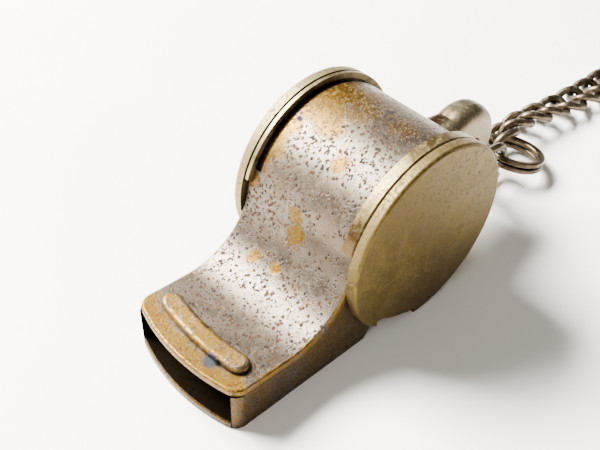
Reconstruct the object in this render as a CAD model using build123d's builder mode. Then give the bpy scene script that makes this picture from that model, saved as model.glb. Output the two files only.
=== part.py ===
from build123d import *
import os
from math import atan2, copysign, cos, degrees, hypot, pi, radians, sin, sqrt

# A pea whistle of nickelled sheet brass with its rings and a curb chain, in millimetres.
# It lies upside down: the flat side with the air window faces the table, the barrel's round
# belly faces up. X runs from the mouthpiece (-X) to the chain (+X), Y is the barrel's axis.
# The origin is under the middle of the whistle itself, on the table.

# ---- driving dimensions: the whistle ----
cap_radius = 12.5  # the two end caps, the widest round of the whistle
whistle_width = 20.8  # over both caps
channel_width = 18.05  # over the strip's edges and the mouthpiece's sides
mouth_reach = 30.0  # barrel axis to the front of the mouthpiece's floor
roof_setback = 0.3  # the roof stops this much behind the floor
mouth_height = 6.6  # over the mouthpiece at its front edge
roof_slope = 3.0  # degrees, falling away from the mouth
front_radius = 26.5  # the mouth's edge is bowed in plan
corner_radius = 2.0  # its two corners
sheet = 0.9  # the strip's thickness
wall = 0.8  # side plates, floor and throat
fit_gap = 0.03  # soldered pieces stand this far apart
strip_radius = 11.7  # the belly's outer radius
neck_radius = 9.0  # the hollow curve between roof and belly
rolled_width = 1.7  # the strip's left edge is rolled in under the left band
rolled_drop = 0.55
window_front = -8.5  # the air window, measured from the barrel's axis
window_back_angle = -92.0  # degrees, where the belly's strip ends in the lip
slit_height = 1.2  # the air slit under the throat

# ---- driving dimensions: caps, bands, bead, lug ----
cap_thickness = 1.35
cap_edge_round = 0.45
band_wall = 0.75
right_band_width = 1.65
left_band_width = 0.75
band_start_angle = -80.0
band_end_angle = 163.0
groove = 0.3  # chamfer on each side of the seam between cap and band
notch_radius = 11.1  # the caps are cut back beside the window
bead_reach = 26.0  # barrel axis to the middle of the pressed bite bead
bead_bow = 34.0  # its radius in plan
bead_span = 12.0
bead_width = 2.6
bead_height = 0.85
lug_centre = (17.0, 12.1)  # from the barrel's axis, and above the table
lug_radius = 5.9
lug_thickness = 4.6
lug_round = 1.9
# the flared foot in three sections: reach from the barrel's axis, width, height, corner
lug_sections = ((9.5, 9.4, 9.6, 3.4), (12.2, 6.8, 10.2, 2.6), (15.4, 4.5, 10.6, 1.9))
eye_centre = (17.4, 11.8)
eye_radius = 1.9

# ---- driving dimensions: pea, rings, chain, hook ----
pea_radius = 5.8
pea_rest_angle = -98.0
ring_wire = 0.55  # radius of the plain ring's wire
eye_ring_radius = 4.6  # to the middle of the wire
eye_ring_drop = 50.0  # degrees below level
eye_ring_seat = 0.65  # the wire's middle lies this far off the eye's middle
coupling_wire = 0.6
coupling_width = 4.2  # to the middle of the wire
coupling_play = 0.4
split_radius = 4.2  # to the middle of the band
split_width = 1.1  # one turn of the split ring, across
split_turn = 0.84  # one turn, thick
split_pitch = 0.92
crossover_start = 96.0  # degrees, where the wire steps from the lower turn to the upper
crossover_span = 50.0
split_centre = (31.95, -0.43, 2.6)  # from the barrel's axis
split_tilt = 15.5
link_wire = 0.6
link_half_length = 2.9  # to the middle of the wire
link_half_width = 2.2
link_square = 2.3  # 2 is an ellipse, more is squarer
link_twist = 40.0  # degrees, each end against the middle
link_pitch = 4.3
link_count = 14
chain_start_angle = 61.6  # where the first link sits on the split ring
link_seat = 0.27  # band's middle to the first link's middle
link_lift = 0.33
# how the slack chain lies, link by link from the split ring to the hook, in degrees
headings = [20, -1.6, -9, -9.6, -5.8, -1.3, 0.5, 2, 2, 0.2, -3.6, -3, 4.4, 26]
slopes = [2.3, -0.6, -3.7, -4.4, -1.3, -2.5, -1.5, 0, 0, 1.3, 4.4, 3.7, 0.6, -2.3]
rolls = [-40.5, -33.8, -23.6, -12.3, -1.3, 0, 0, 0, 0, 1.3, 12.3, 23.6, 33.8, 40.5]
table_gap = 0.05
hook_wire = 0.7
hook_eye_radius = 2.3
hook_shank = 9.0
hook_bow_radius = 4.6
hook_tip = 4.0

# ---- the whistle's own places ----
lug_reach = lug_centre[0] + lug_radius
barrel_x = (mouth_reach - lug_reach) / 2  # centres the whistle over the origin
barrel_z = cap_radius
half_channel = channel_width / 2
inner_width = channel_width - 2 * wall - 2 * fit_gap
belly_inside = strip_radius - sheet


def side_plane(y):
    """A plane square to the barrel's axis. It looks towards -Y, with +X to the right."""
    return Plane(origin=(barrel_x, y, barrel_z), x_dir=(1, 0, 0), z_dir=(0, -1, 0))


def polar(centre, radius, angle):
    return (centre[0] + radius * cos(radians(angle)), centre[1] + radius * sin(radians(angle)))


def arc(centre, radius, start, end):
    """An arc in the open builder line, from one angle to another in degrees."""
    stops = [polar(centre, radius, angle) for angle in (start, (start + end) / 2, end)]
    return ThreePointArc(*stops)


# The roof is a straight line that falls at roof_slope. The neck's arc touches it and the belly.
along = (cos(radians(roof_slope)), -sin(radians(roof_slope)))
normal = (sin(radians(roof_slope)), cos(radians(roof_slope)))
roof_front = (roof_setback - mouth_reach, mouth_height - barrel_z)
lifted = (roof_front[0] + neck_radius * normal[0], roof_front[1] + neck_radius * normal[1])
travel = lifted[0] * along[0] + lifted[1] * along[1]
reach = travel**2 - (lifted[0] ** 2 + lifted[1] ** 2) + (strip_radius + neck_radius) ** 2
neck_shift = -travel - sqrt(reach)
neck_centre = (lifted[0] + neck_shift * along[0], lifted[1] + neck_shift * along[1])
neck_start = -90.0 - roof_slope
neck_end = degrees(atan2(-neck_centre[1], -neck_centre[0]))
belly_start = degrees(atan2(neck_centre[1], neck_centre[0]))


def roof_point(depth):
    """The roof line's front end, at a depth below its outer face."""
    return (roof_front[0] - depth * normal[0], roof_front[1] - depth * normal[1])


def roof_and_neck(depth):
    """Roof line and neck arc in the open builder line, at a depth below the outer face."""
    radius = neck_radius + depth
    Line(roof_point(depth), polar(neck_centre, radius, neck_start))
    arc(neck_centre, radius, neck_start, neck_end)


def cut_front(reach_out):
    """Trims the open part to the mouthpiece's bowed front edge and its rounded corners."""
    back = cap_radius + 1
    with BuildSketch(Plane.XY.offset(-1)) as plan:
        with Locations((barrel_x + (back - reach_out) / 2, 0)):
            Rectangle(back + reach_out, channel_width)
        with Locations((barrel_x - reach_out + front_radius, 0)):
            Circle(front_radius, mode=Mode.INTERSECT)
        fillet(plan.vertices().sort_by(Axis.X)[:2], corner_radius)
    extrude(plan.sketch, amount=2 * cap_radius + 2, mode=Mode.INTERSECT)


# ---- the strip: mouthpiece roof, neck and belly in one piece ----
with BuildPart() as barrel_strip:
    with BuildSketch(side_plane(0)):
        with BuildLine():
            roof_and_neck(0)
            arc((0, 0), strip_radius, belly_start, window_back_angle)
            lip = polar((0, 0), strip_radius, window_back_angle)
            Line(lip, polar((0, 0), belly_inside, window_back_angle - 3))
            arc((0, 0), belly_inside, window_back_angle - 3, belly_start)
            roof_and_neck(sheet)
            Line(roof_point(sheet), roof_point(0))
        make_face()
    extrude(amount=half_channel, both=True)
    cut_front(mouth_reach - roof_setback)
    roll_start = radians(band_start_angle)
    roll_facing = (sin(roll_start), 0, -cos(roll_start))
    with BuildSketch(Plane(origin=(barrel_x, 0, barrel_z), x_dir=(0, 1, 0), z_dir=roll_facing)):
        with BuildLine():
            Polyline(
                (half_channel - rolled_width, strip_radius + 0.2),
                (half_channel - rolled_width, strip_radius),
                (half_channel - 0.4, strip_radius - rolled_drop),
                (half_channel + 0.1, strip_radius - rolled_drop - 0.1),
                (half_channel + 0.1, strip_radius + 0.2),
                close=True,
            )
        make_face()
    revolve(axis=Axis((barrel_x, 0, barrel_z), (0, -1, 0)), revolution_arc=236, mode=Mode.SUBTRACT)
    belly_edges = barrel_strip.edges().filter_by(GeomType.CIRCLE)
    belly_edges = belly_edges.filter_by(lambda e: abs(e.radius - strip_radius) < 0.01 and e.center().Y < 0)
    fillet(belly_edges, 0.3)
    bead_base = mouth_height - sheet / 2
    with BuildSketch(Plane.XY.offset(bead_base)):
        half_angle = degrees(bead_span / 2 / bead_bow)
        bead_middle = (barrel_x - bead_reach + bead_bow, 0)
        bead_line = CenterArc(bead_middle, bead_bow, 180 - half_angle, 2 * half_angle)
        SlotArc(arc=bead_line, height=bead_width)
    extrude(amount=bead_height + sheet / 2 - 0.2)
    bead_top = barrel_strip.faces().filter_by(Axis.Z).sort_by(Axis.Z)[-1]
    fillet(bead_top.edges(), 0.6)
barrel_strip.part.label = "barrel_strip"

# ---- side plates: the barrel's ends with the mouthpiece's walls, inside the strip ----
floor_front = (-mouth_reach, -barrel_z)
plate_depth = sheet + fit_gap
plate_y = half_channel - fit_gap
side_plates = {}
for name, y in (("right_side_plate", wall - plate_y), ("left_side_plate", plate_y)):
    with BuildPart() as plate:
        with BuildSketch(side_plane(y)):
            Circle(belly_inside - fit_gap)
            with BuildLine():
                Line(floor_front, roof_point(plate_depth))
                roof_and_neck(plate_depth)
                Line(polar(neck_centre, neck_radius + plate_depth, neck_end), (0, 0))
                Line((0, 0), (window_front, -barrel_z))
                Line((window_front, -barrel_z), floor_front)
            make_face()
        extrude(amount=wall)
        cut_front(mouth_reach)
    plate.part.label = name
    side_plates[name] = plate

# ---- floor of the mouthpiece, between the side plates ----
with BuildPart() as mouth_floor:
    with BuildSketch(side_plane(0)):
        with BuildLine():
            Polyline(
                floor_front,
                (window_front, -barrel_z),
                (window_front - wall, wall - barrel_z),
                (-mouth_reach, wall - barrel_z),
                close=True,
            )
        make_face()
    extrude(amount=inner_width / 2, both=True)
    cut_front(mouth_reach)
mouth_floor.part.label = "mouth_floor"

# ---- throat: slopes down from the roof to the air slit, then closes the barrel's front ----
throat_radius = belly_inside - 0.1
throat_foot = -degrees(pi / 2 + atan2(-window_front + 0.6, barrel_z - wall - slit_height - 0.4))
throat_top = belly_start - 360 + 6
throat_start = (roof_front[0] + 10.5, wall + slit_height + 1.8 - barrel_z)
with BuildPart() as throat_plate:
    with BuildSketch(side_plane(0)):
        with BuildLine():
            foot_out = polar((0, 0), throat_radius, throat_foot)
            foot_in = polar((0, 0), throat_radius - wall, throat_foot + 1)
            Line(throat_start, foot_out)
            Line(foot_out, foot_in)
            arc((0, 0), throat_radius - wall, throat_foot + 1, throat_top)
            Line(polar((0, 0), throat_radius - wall, throat_top), polar((0, 0), throat_radius, throat_top))
            arc((0, 0), throat_radius, throat_top, throat_foot - 9)
            Line(polar((0, 0), throat_radius, throat_foot - 9), (throat_start[0], throat_start[1] + wall))
            Line((throat_start[0], throat_start[1] + wall), throat_start)
        make_face()
    extrude(amount=inner_width / 2, both=True)
throat_plate.part.label = "throat_plate"

# ---- caps and the bands that run round them ----
half_width = whistle_width / 2
caps = {}
for name, sign in (("right_cap", -1), ("left_cap", 1)):
    with BuildPart() as cap:
        with BuildSketch(side_plane(sign * half_width)):
            Circle(cap_radius)
            with BuildLine():
                Polyline((-7.9, -13.5), (-7.9, -8.6), (-7.3, -notch_radius + 2.5), (-2.2, -notch_radius),
                         (-0.9, -11.3), (-0.6, -13.5), close=True)
            make_face(mode=Mode.SUBTRACT)
            Circle(notch_radius)
        extrude(amount=sign * cap_thickness)
        rim = cap.edges().filter_by(GeomType.CIRCLE).filter_by(lambda e: e.radius > cap_radius - 0.01)
        outer = rim.sort_by(Axis.Y)[0] if sign < 0 else rim.sort_by(Axis.Y)[-1]
        fillet(outer, cap_edge_round)
    cap.part.label = name
    caps[name] = cap

bands = {}
band_sides = (("right_rim_band", -1, right_band_width), ("left_rim_band", 1, left_band_width))
for name, sign, width in band_sides:
    outer_y = sign * (half_width - cap_thickness - fit_gap)
    with BuildPart() as band:
        with BuildSketch(side_plane(outer_y)):
            with BuildLine():
                inside = cap_radius - band_wall
                outer_arc = arc((0, 0), cap_radius, band_start_angle, band_end_angle)
                inner_arc = arc((0, 0), inside, band_end_angle + 2, band_start_angle - 2)
                Line(outer_arc @ 1, inner_arc @ 0)
                Line(inner_arc @ 1, outer_arc @ 0)
            make_face()
        extrude(amount=sign * width)
        rim = band.edges().filter_by(GeomType.CIRCLE).filter_by(lambda e: abs(e.radius - cap_radius) < 0.01)
        seam = rim.sort_by(Axis.Y)[0] if sign < 0 else rim.sort_by(Axis.Y)[-1]
        chamfer(seam, groove)
    band.part.label = name
    bands[name] = band

# ---- tail lug: an upright round eye on a flared foot ----
with BuildPart() as tail_lug:
    lug_middle = (lug_centre[0], lug_centre[1] - barrel_z)
    with BuildSketch(side_plane(lug_thickness / 2)):
        with Locations(lug_middle):
            Circle(lug_radius)
    extrude(amount=lug_thickness)
    fillet(tail_lug.faces().filter_by(Axis.Y).edges(), lug_round)
    for reach, width, height, corner in lug_sections:
        section_middle = (barrel_x + reach, 0, lug_centre[1])
        with BuildSketch(Plane(origin=section_middle, x_dir=(0, 1, 0), z_dir=(1, 0, 0))):
            RectangleRounded(width, height, corner)
    loft()
    with BuildSketch(side_plane(0)):
        Circle(strip_radius + fit_gap)
    extrude(amount=cap_radius, both=True, mode=Mode.SUBTRACT)
    with BuildSketch(side_plane(0)):
        with Locations((eye_centre[0], eye_centre[1] - barrel_z)):
            Circle(eye_radius)
    extrude(amount=lug_thickness, both=True, mode=Mode.SUBTRACT)
tail_lug.part.label = "tail_lug"

# ---- cork pea ----
pea_orbit = throat_radius - wall - pea_radius - 0.1
pea_x, pea_z = polar((barrel_x, barrel_z), pea_orbit, pea_rest_angle)
with BuildPart() as cork_pea:
    with BuildSketch(Plane(origin=(pea_x, 0, pea_z), x_dir=(1, 0, 0), z_dir=(0, -1, 0))):
        with BuildLine():
            ThreePointArc((0, -pea_radius), (pea_radius, 0), (0, pea_radius))
            Line((0, pea_radius), (0, -pea_radius))
        make_face()
    revolve(axis=Axis((pea_x, 0, pea_z), (0, 0, 1)))
cork_pea.part.label = "cork_pea"

# ---- the plain ring in the lug's eye ----
drop = radians(eye_ring_drop)
eye_x = barrel_x + eye_centre[0]
ring_middle = eye_ring_seat + eye_ring_radius
eye_ring_x = eye_x + ring_middle * cos(drop)
eye_ring_z = eye_centre[1] - ring_middle * sin(drop)
eye_ring_middle = (eye_ring_x, 0, eye_ring_z)
with BuildPart() as eye_ring:
    with BuildSketch(Plane(origin=eye_ring_middle, x_dir=(cos(drop), 0, -sin(drop)), z_dir=(0, -1, 0))):
        with Locations((eye_ring_radius, 0)):
            Circle(ring_wire)
    revolve(axis=Axis(eye_ring_middle, (sin(drop), 0, cos(drop))))
eye_ring.part.label = "eye_ring"

# ---- the small coupling link between the plain ring and the split ring ----
tilt = radians(split_tilt)
split_x = barrel_x + split_centre[0]
ring_end_x = eye_ring_x + eye_ring_radius * cos(drop)
ring_end_z = eye_ring_z - eye_ring_radius * sin(drop)
split_end_x = split_x - split_radius * cos(tilt)
split_end_z = split_centre[2] + split_radius * sin(tilt)
span = hypot(split_end_x - ring_end_x, split_end_z - ring_end_z)
fall = atan2(ring_end_z - split_end_z, split_end_x - ring_end_x)
near_end = ring_wire + coupling_wire + coupling_play
far_end = split_width / 2 + coupling_wire + coupling_play
coupling_length = span + near_end + far_end
coupling_shift = span / 2 + (far_end - near_end) / 2
coupling_x = ring_end_x + coupling_shift * cos(fall)
coupling_z = ring_end_z - coupling_shift * sin(fall)
coupling_middle = (coupling_x, split_centre[1] / 2, coupling_z)
coupling_plane = Plane(origin=coupling_middle, x_dir=(cos(fall), 0, -sin(fall)), z_dir=(0, -1, 0))
with BuildPart() as coupling_link:
    with BuildLine(coupling_plane) as oval:
        bend = coupling_width / 2
        run = coupling_length / 2 - bend
        Line((-run, bend), (run, bend))
        ThreePointArc((run, bend), (run + bend, 0), (run, -bend))
        Line((run, -bend), (-run, -bend))
        ThreePointArc((-run, -bend), (-run - bend, 0), (-run, bend))
    with BuildSketch(Plane(origin=oval.line @ 0, z_dir=oval.line % 0)):
        Circle(coupling_wire)
    sweep(transition=Transition.ROUND)
coupling_link.part.label = "coupling_link"

# ---- split ring: two turns of flattened wire ----
split_axis = (sin(tilt), 0, cos(tilt))
split_middle = (split_x, split_centre[1], split_centre[2])
split_plane = Plane(origin=split_middle, x_dir=(cos(tilt), 0, -sin(tilt)), z_dir=split_axis)
turn_start = crossover_start + crossover_span
turn_span = 360 - crossover_span
crossing = polar((0, 0), split_radius, turn_start - crossover_span / 2)
with BuildPart() as split_ring:
    with BuildLine(split_plane) as turns:
        lower = CenterArc((0, 0, -split_pitch / 2), split_radius, turn_start, turn_span)
        upper = CenterArc((0, 0, split_pitch / 2), split_radius, turn_start, turn_span)
        Spline(lower @ 1, crossing, upper @ 0, tangents=(lower % 1, upper % 0))
    with BuildSketch(Plane(origin=lower @ 0, x_dir=split_plane.z_dir, z_dir=lower % 0)):
        RectangleRounded(split_turn, split_width, 0.28)
    sweep()
split_ring.part.label = "split_ring"


# ---- the curb chain ----
def link_point(turn):
    """A point of a link's wire middle: a squared oval whose two ends are twisted apart."""
    x = copysign(abs(cos(turn)) ** (2 / link_square), cos(turn)) * link_half_length
    w = copysign(abs(sin(turn)) ** (2 / link_square), sin(turn)) * link_half_width
    twist = radians(link_twist) * x / link_half_length
    return (x, w * cos(twist), w * sin(twist))


def link_half(side):
    """Half of a link's wire middle, from one long side round an end to the other."""
    half_steps = 12
    points = [link_point(side * pi / 2 + pi * step / half_steps) for step in range(half_steps + 1)]
    lift = link_half_width * radians(link_twist) / link_half_length
    ends = ((-side, 0, -lift), (side, 0, -lift))
    return points, ends


start = radians(chain_start_angle)
around = split_plane.x_dir * cos(start) + split_plane.y_dir * sin(start)
place = split_plane.origin + around * split_radius + Vector(0, 0, link_lift)
link_planes = []
joint_points = []
for index in range(link_count):
    heading = radians(headings[index])
    slope = radians(slopes[index])
    forward = Vector(cos(heading) * cos(slope), sin(heading) * cos(slope), sin(slope))
    sideways = Vector(-sin(heading), cos(heading), 0)
    joint_points.append(place)
    middle = place + forward * (link_seat if index == 0 else link_pitch / 2)
    roll = radians(rolls[index])
    face = forward.cross(sideways) * cos(roll) - sideways * sin(roll)
    link_planes.append(Plane(origin=middle, x_dir=forward, z_dir=face))
    place = middle + forward * (link_pitch / 2)

with BuildPart() as curb_link:
    for side in (1, -1):
        half, ends = link_half(side)
        with BuildLine() as wire:
            Spline(half, tangents=ends)
        with BuildSketch(Plane(origin=wire.line @ 0, z_dir=wire.line % 0)):
            Circle(link_wire)
        sweep()

chain_links = []
for index, plane in enumerate(link_planes):
    with BuildPart() as link:
        with Locations(plane.location):
            add(curb_link.part)
    link.part.label = f"chain_link_{index + 1:02d}"
    chain_links.append(link)

# ---- hook at the chain's far end, lying flat ----
hook_seat = link_half_length - link_wire - hook_wire - 0.2 - link_pitch / 2
hook_length = hook_eye_radius * 2 + hook_shank + hook_bow_radius
dip = -(place.Z - hook_wire - table_gap) / hook_length
hook_forward = Vector(forward.X, forward.Y, dip).normalized()
hook_origin = place + hook_forward * (hook_seat + hook_eye_radius)
hook_up = hook_forward.cross(sideways)
hook_plane = Plane(origin=hook_origin, x_dir=hook_forward, z_dir=hook_up)
with BuildPart() as chain_hook:
    with BuildLine(hook_plane) as shank:
        bow_x = hook_eye_radius + hook_shank
        Line((hook_eye_radius, 0), (bow_x, 0))
        tip_y = -2 * hook_bow_radius
        ThreePointArc((bow_x, 0), (bow_x + hook_bow_radius, tip_y / 2), (bow_x, tip_y))
        Line((bow_x, tip_y), (bow_x - hook_tip, tip_y))
    with BuildSketch(Plane(origin=shank.line @ 0, z_dir=shank.line % 0)):
        Circle(hook_wire)
    sweep(transition=Transition.ROUND)
    with BuildSketch(Plane(origin=hook_plane.origin, x_dir=hook_plane.x_dir, z_dir=hook_plane.y_dir)):
        with Locations((hook_eye_radius, 0)):
            Circle(hook_wire)
    revolve(axis=Axis(hook_plane.origin, hook_plane.z_dir))
    with Locations(hook_plane * Location((bow_x - hook_tip, tip_y, 0))):
        Sphere(hook_wire)
chain_hook.part.label = "chain_hook"

# ---- write every piece ----
os.makedirs("parts", exist_ok=True)
pieces = [barrel_strip, mouth_floor, throat_plate, tail_lug, cork_pea, eye_ring, coupling_link, split_ring]
pieces += [*side_plates.values(), *caps.values(), *bands.values(), *chain_links, chain_hook]
for piece in pieces:
    export_step(piece.part, f"parts/{piece.part.label}.step")
print("barrel axis x", round(barrel_x, 3))
print("eye", round(eye_x, 3), "ring end", round(ring_end_x, 3), round(ring_end_z, 3))
print("coupling", round(coupling_x, 3), round(coupling_z, 3), "split", round(split_x, 3))
for point in joint_points + [place]:
    print("chain joint", [round(v, 3) for v in point])
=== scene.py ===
import math

import bpy
from mathutils import Matrix, Vector


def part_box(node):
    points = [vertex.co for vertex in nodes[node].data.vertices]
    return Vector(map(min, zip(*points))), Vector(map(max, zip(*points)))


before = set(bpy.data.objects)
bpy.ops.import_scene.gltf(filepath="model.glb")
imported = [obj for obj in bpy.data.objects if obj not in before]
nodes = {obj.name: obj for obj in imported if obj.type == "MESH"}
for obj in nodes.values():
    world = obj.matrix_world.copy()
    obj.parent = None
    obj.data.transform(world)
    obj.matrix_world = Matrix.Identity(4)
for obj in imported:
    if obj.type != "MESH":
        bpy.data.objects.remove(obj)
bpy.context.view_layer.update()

# ---- places, in metres, in the row frame ----
WHISTLE = [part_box(n) for n in ("left_cap", "right_cap")]
BARREL_X = (WHISTLE[0][0][0] + WHISTLE[0][1][0]) / 2
BARREL_Z = (WHISTLE[0][0][2] + WHISTLE[0][1][2]) / 2
MM = 0.001


class Look:
    """A node material with short calls for the textures it is built from."""

    def __init__(self, name):
        self.mat = bpy.data.materials.new(name)
        self.mat.use_nodes = True
        self.tree = self.mat.node_tree
        self.tree.nodes.clear()
        self.out = self.new("ShaderNodeOutputMaterial")
        self.bsdf = self.new("ShaderNodeBsdfPrincipled")
        self.link(self.bsdf.outputs[0], self.out.inputs[0])
        self.coords = self.new("ShaderNodeTexCoord").outputs["Object"]

    def new(self, kind):
        return self.tree.nodes.new(kind)

    def link(self, a, b):
        self.tree.links.new(a, b)

    def put(self, socket, value):
        if hasattr(value, "is_linked"):
            self.link(value, socket)
        elif isinstance(value, (tuple, list)) and len(value) == 3 and len(socket.default_value) == 4:
            socket.default_value = (*value, 1.0)
        else:
            socket.default_value = value

    def noise(self, scale, detail, rough, distortion=0.0, offset=None):
        n = self.new("ShaderNodeTexNoise")
        n.inputs["Scale"].default_value = scale
        n.inputs["Detail"].default_value = detail
        n.inputs["Roughness"].default_value = rough
        n.inputs["Distortion"].default_value = distortion
        source = self.coords
        if offset is not None:
            moved = self.new("ShaderNodeMapping")
            moved.inputs["Location"].default_value = offset
            self.link(source, moved.inputs["Vector"])
            source = moved.outputs[0]
        self.link(source, n.inputs["Vector"])
        return n.outputs[0]

    def cells(self, scale):
        """Distance from the nearest of many scattered points."""
        n = self.new("ShaderNodeTexVoronoi")
        n.inputs["Scale"].default_value = scale
        self.link(self.coords, n.inputs["Vector"])
        return n.outputs["Distance"]

    def math(self, op, a, b=None, clamp=False):
        n = self.new("ShaderNodeMath")
        n.operation = op
        n.use_clamp = clamp
        self.put(n.inputs[0], a)
        if b is not None:
            self.put(n.inputs[1], b)
        return n.outputs[0]

    def times(self, a, b):
        return self.math("MULTIPLY", a, b)

    def plus(self, a, b):
        return self.math("ADD", a, b)

    def minus(self, a, b):
        return self.math("SUBTRACT", a, b)

    def rest(self, a):
        """What is missing to 1."""
        return self.minus(1.0, a)

    def span(self, value, low, high, out_low=0.0, out_high=1.0):
        """A smooth step from out_low to out_high while the value goes from low to high."""
        n = self.new("ShaderNodeMapRange")
        n.interpolation_type = "SMOOTHSTEP"
        self.put(n.inputs["Value"], value)
        n.inputs["From Min"].default_value = low
        n.inputs["From Max"].default_value = high
        n.inputs["To Min"].default_value = out_low
        n.inputs["To Max"].default_value = out_high
        return n.outputs[0]

    def mix(self, factor, a, b):
        n = self.new("ShaderNodeMix")
        n.data_type = "RGBA"
        self.put(n.inputs[0], factor)
        self.put(n.inputs[6], a)
        self.put(n.inputs[7], b)
        return n.outputs[2]

    def distance(self, point):
        n = self.new("ShaderNodeVectorMath")
        n.operation = "DISTANCE"
        self.link(self.coords, n.inputs[0])
        n.inputs[1].default_value = point
        return n.outputs["Value"]

    def distance_flat(self, point):
        """Distance in plan from a point (x, y)."""
        dx = self.minus(self.axis(0), point[0])
        dy = self.minus(self.axis(1), point[1])
        return self.math("SQRT", self.plus(self.times(dx, dx), self.times(dy, dy)))

    def axis(self, index):
        n = self.new("ShaderNodeSeparateXYZ")
        self.link(self.coords, n.inputs[0])
        return n.outputs[index]

    def blob(self, point, radius, ragged=None):
        """1 at a point in millimetres, 0 beyond radius, with a ragged rim from a noise."""
        place = (BARREL_X + point[0] * MM, point[1] * MM, point[2] * MM)
        d = self.math("DIVIDE", self.distance(place), radius * MM)
        if ragged is not None:
            d = self.ragged_by(d, ragged, 2.2)
        return self.span(d, 0.55, 1.0, 1.0, 0.0)

    def occlusion(self, reach):
        n = self.new("ShaderNodeAmbientOcclusion")
        n.samples = 8
        n.inputs["Distance"].default_value = reach
        return n.outputs["AO"]

    def bump(self, height, depth, strength):
        n = self.new("ShaderNodeBump")
        n.inputs["Strength"].default_value = strength
        n.inputs["Distance"].default_value = depth
        self.link(height, n.inputs["Height"])
        return n.outputs[0]

    def ragged_by(self, value, noise, amount):
        """The value, pushed up and down by a noise."""
        return self.plus(value, self.times(self.minus(noise, 0.5), amount))

    def finish(self, color, roughness, metallic, normal=None):
        self.put(self.bsdf.inputs["Base Color"], color)
        self.put(self.bsdf.inputs["Roughness"], roughness)
        self.put(self.bsdf.inputs["Metallic"], metallic)
        if normal is not None:
            self.link(normal, self.bsdf.inputs["Normal"])
        return self.mat


STRIP_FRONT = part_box("barrel_strip")[0][0]
FLOOR_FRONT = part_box("mouth_floor")[0][0]
LIP_RADIUS = 26.5 * MM  # the mouth's edge in plan
LIP_CENTRE = (STRIP_FRONT + LIP_RADIUS, 0.0)
STRIP_EDGE = 9.02 * MM  # the strip's long edges, from the middle plane
CAP_FACE = 10.35 * MM  # just inside a cap's outer face
WALL_INSIDE = 8.3 * MM  # just outside a side plate's inner face
ROOF_SLOPE = math.radians(3.0)

# ---- colours, linear ----
NICKEL = (0.092, 0.072, 0.053)
NICKEL_LIGHT = (0.138, 0.113, 0.086)
NICKEL_WARM = (0.13, 0.09, 0.057)
BRASS = (0.095, 0.047, 0.004)
BRASS_LIGHT = (0.160, 0.089, 0.009)
# The dirt colour serves real pits and dirt, and also painted shade in recesses and behind the bead.
DIRT_AND_SHADE = (0.008, 0.004, 0.002)
RUST = (0.038, 0.0155, 0.0038)
OLIVE = (0.098, 0.064, 0.011)
OLIVE_LIGHT = (0.120, 0.082, 0.018)
OLIVE_LOW = (0.036, 0.021, 0.004)
CHIP_GREY = (0.035, 0.035, 0.040)
DIMPLE_SHADE = (0.012, 0.011, 0.012)
BLACK = (0.002, 0.0015, 0.001)
RIM_HIGHLIGHT = (0.24, 0.185, 0.085)
WIRE = (0.055, 0.038, 0.020)
WIRE_LIGHT = (0.16, 0.125, 0.082)
WIRE_SHADE = (0.010, 0.0055, 0.002)


def toned(color, tone):
    return [part * tone for part in color]


def shade_recesses(k, color, reach, amount):
    """Painted shade, with some grime, where other surfaces stand close."""
    recess = k.span(k.occlusion(reach), 0.35, 0.92)
    return k.mix(k.times(k.rest(recess), amount), color, DIRT_AND_SHADE)


def bare_brass(k, broad, fine, ragged, patches, brass_amount, edge_brass, mouth):
    """Where the plating is gone: 0 on plate, 1 on brass, with specks of plating left in it."""
    wear = k.span(ragged, 0.66 - 0.14 * brass_amount, 0.72 - 0.10 * brass_amount)
    wear = k.times(wear, k.span(broad, 0.50 - 0.12 * brass_amount, 0.70 - 0.12 * brass_amount))
    torn = k.ragged_by(ragged, fine, 0.8)
    for point, radius, amount in patches:
        wear = k.math("MAXIMUM", wear, k.times(k.blob(point, radius, torn), amount))
    if edge_brass:
        side = k.ragged_by(k.math("ABSOLUTE", k.axis(1)), ragged, 2.4 * MM)
        wear = k.math("MAXIMUM", wear, k.span(side, STRIP_EDGE - 0.5 * MM, STRIP_EDGE + 0.1 * MM))
    if mouth:
        outward = k.ragged_by(k.distance_flat(LIP_CENTRE), ragged, 5.0 * MM)
        lip = k.span(outward, LIP_RADIUS - 3.0 * MM, LIP_RADIUS - 1.4 * MM)
        bead = k.span(k.axis(2), 6.55 * MM, 6.9 * MM)
        bead = k.times(bead, k.span(k.axis(2), 9.0 * MM, 8.0 * MM))
        bead = k.times(bead, k.span(ragged, 0.42, 0.60, 1.0, 0.25))
        front = k.span(k.axis(0), -19.0 * MM, -20.0 * MM)
        wear = k.math("MAXIMUM", wear, k.times(k.math("MAXIMUM", lip, bead), front))
    speck = k.noise(3400.0, 4.0, 0.6, offset=(0.031, 0.002, 0.011))
    return k.times(wear, k.rest(k.times(k.span(speck, 0.56, 0.64), 0.75)))


def pitting(k, broad, mid, fine, wear, pit_amount):
    """Round pits, fine grit and scratches: 1 in a pit. Bare brass has fewer."""
    density = k.span(broad, 0.30, 0.72, 0.03, -0.04)
    size = k.noise(1500.0, 2.0, 0.5, offset=(0.017, 0.013, 0.029))
    size = k.plus(k.plus(size, density), (pit_amount - 0.5) * 0.12)
    size = k.span(size, 0.38, 0.70, 0.0, 0.44)
    edge = k.ragged_by(k.cells(1700.0), fine, 0.45)
    dots = k.math("DIVIDE", k.minus(size, edge), 0.08, clamp=True)
    grit = k.math("DIVIDE", k.minus(0.30, k.cells(4600.0)), 0.10, clamp=True)
    grit = k.times(grit, k.span(mid, 0.44, 0.60, 0.0, 0.55))
    scars = k.plus(k.plus(fine, density), (pit_amount - 0.5) * 0.06)
    pits = k.math("MAXIMUM", k.span(scars, 0.60, 0.65), k.math("MAXIMUM", dots, grit))
    return k.times(pits, k.rest(k.times(wear, 0.55)))


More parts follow.
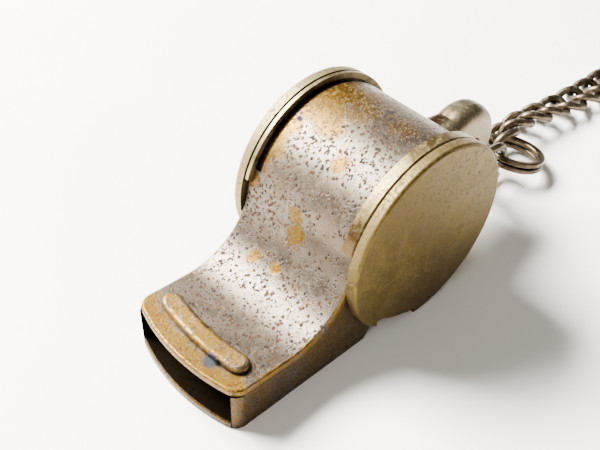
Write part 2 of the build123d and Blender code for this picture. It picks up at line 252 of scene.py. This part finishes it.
def mouth_marks(k, color, ragged):
    """The painted shade behind the bead, the grey chip with its black spot, and the painted shade of the
    belly's dimple.
    """
    # Painted shade behind the bead.
    color = k.mix(k.times(k.blob((-24.9, 0.2, 6.6), 1.0), 0.5), color, DIRT_AND_SHADE)
    chip = k.blob((-27.5, -3.6, 6.5), 1.15, k.span(ragged, 0.0, 1.0, 0.38, 0.62))
    color = k.mix(chip, color, CHIP_GREY)
    color = k.mix(k.blob((-26.9, -4.4, 6.6), 0.55), color, BLACK)
    # Painted shade where the belly has a dimple.
    return k.mix(k.blob((-5.35, 6.7, 22.9), 0.42), color, DIMPLE_SHADE)


def worn_plate(name, brass_amount, pit_amount, inside, tone=1.0, patches=(), edge_brass=False, mouth=False):
    """Nickel plate with pits and specks, worn through to brass, and painted black shade where inside() is
    1.
    """
    k = Look(name)
    broad = k.noise(170.0, 3.0, 0.5)
    mid = k.noise(520.0, 6.0, 0.62, 0.4, offset=(0.013, 0.007, 0.002))
    fine = k.noise(1900.0, 8.0, 0.68, 0.2, offset=(0.004, 0.017, 0.009))
    ragged = k.noise(420.0, 8.0, 0.72, 0.8, offset=(0.007, 0.003, 0.019))
    scratch = k.noise(900.0, 3.0, 0.8, 2.5, offset=(0.003, 0.021, 0.001))

    plate = k.mix(k.span(mid, 0.30, 0.70), toned(NICKEL, tone), toned(NICKEL_LIGHT, tone))
    plate = k.mix(k.times(k.span(broad, 0.42, 0.66), 0.25), plate, toned(NICKEL_WARM, tone))
    brass = k.mix(k.span(fine, 0.36, 0.62), toned(BRASS, tone), toned(BRASS_LIGHT, tone))
    wear = bare_brass(k, broad, fine, ragged, patches, brass_amount, edge_brass, mouth)
    color = k.mix(wear, plate, brass)

    pits = pitting(k, broad, mid, fine, wear, pit_amount)
    rust = k.span(k.noise(1100.0, 2.0, 0.5, offset=(0.005, 0.023, 0.007)), 0.38, 0.52)
    color = k.mix(k.times(pits, 0.95), color, k.mix(rust, DIRT_AND_SHADE, RUST))
    if mouth:
        color = mouth_marks(k, color, ragged)
    color = shade_recesses(k, color, 1.6 * MM, 0.7)
    # Painted shade: the mouthpiece's inside is painted nearly black.
    shaded_inside = inside(k)
    seen = k.rest(shaded_inside)
    color = k.mix(k.times(shaded_inside, 0.97), color, BLACK)

    rough = k.plus(k.times(pits, 0.30), k.span(scratch, 0.3, 0.7, 0.31, 0.42))
    rough = k.plus(rough, k.times(wear, 0.06))
    rough = k.math("MAXIMUM", rough, shaded_inside)
    metal = k.times(k.span(pits, 0.0, 1.0, 0.96, 0.15), seen)
    k.put(k.bsdf.inputs["Specular IOR Level"], k.times(k.span(pits, 0.0, 1.0, 0.5, 0.12), seen))
    height = k.minus(k.times(mid, 0.35), pits)
    height = k.minus(height, k.times(wear, 0.30))
    height = k.plus(height, k.times(fine, 0.35))
    return k.finish(color, rough, metal, k.bump(height, 0.055 * MM, 0.9))


def satin_brass(name, base, light, grey_amount, pit_amount, low_dark=True, rough_low=0.34, recess_shade=0.7,
                patches=(), rim_highlight=0.0):
    """Brass with its plating nearly gone: satin, finely pitted, greyer where plating stays."""
    k = Look(name)
    broad = k.noise(110.0, 4.0, 0.55, 0.6, offset=(0.002, 0.011, 0.027))
    mid = k.noise(480.0, 6.0, 0.6, 0.3)
    fine = k.noise(2300.0, 8.0, 0.7, offset=(0.019, 0.001, 0.003))
    speck = k.noise(4200.0, 3.0, 0.5, offset=(0.001, 0.009, 0.023))
    color = k.mix(k.span(mid, 0.32, 0.68), base, light)
    grain = k.span(fine, 0.38, 0.60)
    color = k.mix(k.times(k.rest(grain), 0.35), color, toned(base, 0.45))
    plating = k.span(k.plus(broad, k.times(fine, 0.35)), 0.62, 0.82)
    color = k.mix(k.times(plating, grey_amount), color, toned(light, 1.5))
    # Painted highlight on the cap's rim.
    if rim_highlight:
        rim = k.span(k.math("ABSOLUTE", k.axis(1)), CAP_FACE, CAP_FACE - 0.4 * MM)
        color = k.mix(k.times(rim, rim_highlight), color, RIM_HIGHLIGHT)
    if low_dark:
        raised = k.span(k.plus(k.axis(2), k.times(mid, 5 * MM)), 2 * MM, 15 * MM)
        color = k.mix(k.times(k.rest(raised), 0.40), color, OLIVE_LOW)
    pits = k.span(k.plus(fine, (pit_amount - 0.5) * 0.08), 0.60, 0.66)
    dots = k.times(k.span(speck, 0.64, 0.69), k.span(broad, 0.40, 0.62))
    pits = k.math("MAXIMUM", k.times(pits, 0.7), dots)
    color = k.mix(k.times(pits, 0.7), color, DIRT_AND_SHADE)
    for point, radius, amount in patches:
        color = k.mix(k.times(k.blob(point, radius, mid), amount), color, RUST)
    # Painted shade, with some grime, in the seams and recesses.
    color = shade_recesses(k, color, 1.2 * MM, recess_shade)
    rough = k.plus(k.times(pits, 0.2), k.span(mid, 0.3, 0.7, rough_low, rough_low + 0.1))
    normal = k.bump(k.minus(k.times(fine, 0.5), pits), 0.035 * MM, 0.8)
    return k.finish(color, rough, k.span(pits, 0.0, 1.0, 0.95, 0.5), normal)


def chain_metal(name, tone):
    """Handled nickel wire: bright on its crowns, with painted brown shade in its recesses."""
    k = Look(name)
    mid = k.noise(700.0, 5.0, 0.6, 0.3)
    fine = k.noise(2600.0, 6.0, 0.65)
    color = k.mix(k.span(mid, 0.3, 0.7), toned(WIRE, tone), toned(WIRE_LIGHT, tone))
    pits = k.span(fine, 0.60, 0.68)
    color = k.mix(k.times(pits, 0.6), color, DIRT_AND_SHADE)
    # Painted shade: brown darkening where other links stand close.
    recess = k.span(k.ragged_by(k.occlusion(1.1 * MM), mid, 0.5), 0.25, 0.85)
    color = k.mix(k.times(k.rest(recess), 0.92), color, WIRE_SHADE)
    normal = k.bump(k.minus(k.times(mid, 0.5), pits), 0.04 * MM, 0.8)
    return k.finish(color, k.span(mid, 0.3, 0.7, 0.26, 0.42), 0.95, normal)


def cork(name):
    """Matt brown cork with dark grains."""
    k = Look(name)
    grain = k.cells(900.0)
    mid = k.noise(600.0, 5.0, 0.6)
    color = k.mix(k.span(mid, 0.3, 0.7), (0.42, 0.26, 0.13), (0.62, 0.44, 0.26))
    color = k.mix(k.span(grain, 0.0, 0.25, 0.6, 0.0), color, (0.16, 0.08, 0.04))
    return k.finish(color, 0.85, 0.0, k.bump(grain, 0.2 * MM, 0.7))


def dress(node, material):
    """Gives one piece its material."""
    mesh = nodes[node].data
    mesh.materials.clear()
    mesh.materials.append(material)


# Masks of the mouthpiece's inside, which worn_plate paints black as shade.
def under_roof(k):
    """The roof's underside in the mouthpiece."""
    rise = k.times(k.minus(k.axis(0), STRIP_FRONT), math.tan(ROOF_SLOPE))
    low = k.span(k.plus(k.axis(2), rise), 5.85 * MM, 5.75 * MM)
    return k.times(low, k.span(k.axis(0), BARREL_X - 12.0 * MM, BARREL_X - 14.0 * MM))


def between_walls(k):
    """The side plates' faces that look into the mouthpiece."""
    return k.span(k.math("ABSOLUTE", k.axis(1)), WALL_INSIDE + 0.05 * MM, WALL_INSIDE - 0.05 * MM)


def on_floor(k):
    """The floor's upper face, behind its front edge."""
    front = k.minus(k.distance_flat((FLOOR_FRONT + LIP_RADIUS, 0.0)), LIP_RADIUS)
    return k.times(k.span(front, -0.10 * MM, -0.35 * MM), k.span(k.axis(2), 0.5 * MM, 0.7 * MM))


# Patches are ((x from the barrel's axis, y, z), radius, strength), in millimetres.
BELLY_BRASS = (
    ((-1.6, 7.3, 24.1), 4.6, 1.0), ((0.8, 6.2, 24.1), 4.0, 1.0), ((-3.2, 4.2, 23.7), 3.2, 0.9),
    ((2.8, 3.6, 23.9), 3.2, 0.8), ((-0.4, 1.6, 24.2), 2.6, 0.7), ((-6.4, 7.2, 22.4), 2.2, 0.9),
    ((-9.7, 7.8, 19.1), 2.0, 1.0), ((-9.0, 6.9, 20.0), 2.0, 0.9), ((-7.0, -1.6, 21.9), 1.2, 1.0),
    ((1.2, -3.5, 24.1), 2.2, 0.6), ((5.7, 1.0, 22.6), 4.0, 0.6), ((-8.2, 7.9, 20.9), 2.2, 1.0),
    ((-4.4, 2.4, 23.3), 1.6, 0.9),
)
NECK_BRASS = (
    ((-14.5, 4.2, 8.4), 1.1, 1.0), ((-14.2, 0.8, 8.6), 1.0, 1.0), ((-11.4, 0.7, 15.5), 1.3, 1.0),
    ((-11.7, -0.1, 13.1), 1.8, 1.0), ((-11.2, 8.2, 16.2), 1.4, 1.0),
)
BAND_STAINS = (((-11.7, -8.1, 17.0), 1.7, 0.7), ((-10.8, -8.1, 18.9), 1.2, 0.6))
LUG_STAINS = (((13.0, 2.6, 16.6), 2.4, 0.85), ((13.4, 0.6, 17.6), 1.6, 0.6))

strip_look = worn_plate("worn_nickel_strip", 0.5, 1.15, under_roof,
                        patches=BELLY_BRASS + NECK_BRASS, edge_brass=True, mouth=True)
wall_look = worn_plate("worn_nickel_walls", 2.2, 1.3, between_walls, tone=0.5)
floor_look = worn_plate("worn_brass_floor", 2.2, 0.9, on_floor, tone=0.6)
near_cap_look = satin_brass("olive_brass_cap", OLIVE, OLIVE_LIGHT, 0.30, 1.35,
                            rough_low=0.46, rim_highlight=0.35)
far_cap_look = satin_brass("cap_with_rim_highlight", OLIVE, OLIVE_LIGHT, 0.30, 1.35,
                           rough_low=0.46, rim_highlight=0.85)
near_band_look = satin_brass("rim_band", (0.12, 0.083, 0.027), (0.26, 0.195, 0.09), 0.4, 0.7,
                             patches=BAND_STAINS)
far_band_look = satin_brass("far_rim", (0.16, 0.12, 0.05), (0.30, 0.24, 0.13), 0.4, 0.6, recess_shade=0.25)
lug_look = satin_brass("lug_grey", (0.13, 0.103, 0.055), (0.23, 0.19, 0.115), 0.4, 0.7,
                       low_dark=False, patches=LUG_STAINS)
chain_look = chain_metal("chain_nickel", tone=0.85)
cork_look = cork("cork")
LOOKS = {
    "barrel_strip": strip_look,
    "right_side_plate": wall_look,
    "left_side_plate": wall_look,
    "mouth_floor": floor_look,
    "throat_plate": floor_look,
    "right_cap": near_cap_look,
    "left_cap": far_cap_look,
    "right_rim_band": near_band_look,
    "left_rim_band": far_band_look,
    "tail_lug": lug_look,
    "cork_pea": cork_look,
}
for name in nodes:  # the rings, links and hook share one look
    dress(name, LOOKS.get(name, chain_look))

# ---- table ----
bpy.ops.mesh.primitive_plane_add(size=3.0, location=(0, 0, 0))
table = bpy.context.object
table.name = "table"
t = Look("table_white")
cloud = t.noise(14.0, 3.0, 0.5)
t.finish(t.mix(t.span(cloud, 0.3, 0.7), (0.86, 0.82, 0.755), (0.92, 0.89, 0.84)), 0.55, 0.0)
table.data.materials.append(t.mat)


# ---- light and camera ----
def area(name, place, target, size, power, color):
    light = bpy.data.lights.new(name, "AREA")
    light.shape = "RECTANGLE"
    light.size, light.size_y = size
    light.energy = power
    light.color = color
    lamp = bpy.data.objects.new(name, light)
    bpy.context.collection.objects.link(lamp)
    lamp.location = place
    lamp.rotation_euler = (Vector(target) - Vector(place)).to_track_quat("-Z", "Y").to_euler()


area("window", (-0.10, 0.34, 0.34), (0, 0, 0.01), (0.30, 0.22), 33.0, (1.0, 0.985, 0.96))
area("fill", (-0.38, -0.10, 0.24), (0, 0, 0.01), (0.3, 0.3), 1.2, (1.0, 0.99, 0.97))
world = bpy.data.worlds.new("studio")
world.use_nodes = True
world.node_tree.nodes["Background"].inputs[0].default_value = (1.0, 0.94, 0.83, 1.0)
world.node_tree.nodes["Background"].inputs[1].default_value = 0.26
bpy.context.scene.world = world

CAMERA_PLACE = Vector((BARREL_X - 61.456 * MM, -52.034 * MM, 82.019 * MM))
YAW, PITCH, ROLL = 0.7687, -0.7522, 0.0349
forward = Vector((math.sin(YAW) * math.cos(PITCH), math.cos(YAW) * math.cos(PITCH), math.sin(PITCH)))
level = Vector((math.cos(YAW), -math.sin(YAW), 0.0))
raised = level.cross(forward)
right = level * math.cos(ROLL) + raised * math.sin(ROLL)
up = raised * math.cos(ROLL) - level * math.sin(ROLL)
camera = bpy.data.objects.new("camera", bpy.data.cameras.new("camera"))
bpy.context.collection.objects.link(camera)
turn = Matrix((right, up, -forward)).transposed().to_4x4()
camera.matrix_world = Matrix.Translation(CAMERA_PLACE) @ turn
camera.data.sensor_width = 36.0
camera.data.lens = 51.9
camera.data.clip_start = 0.005
bpy.context.scene.camera = camera
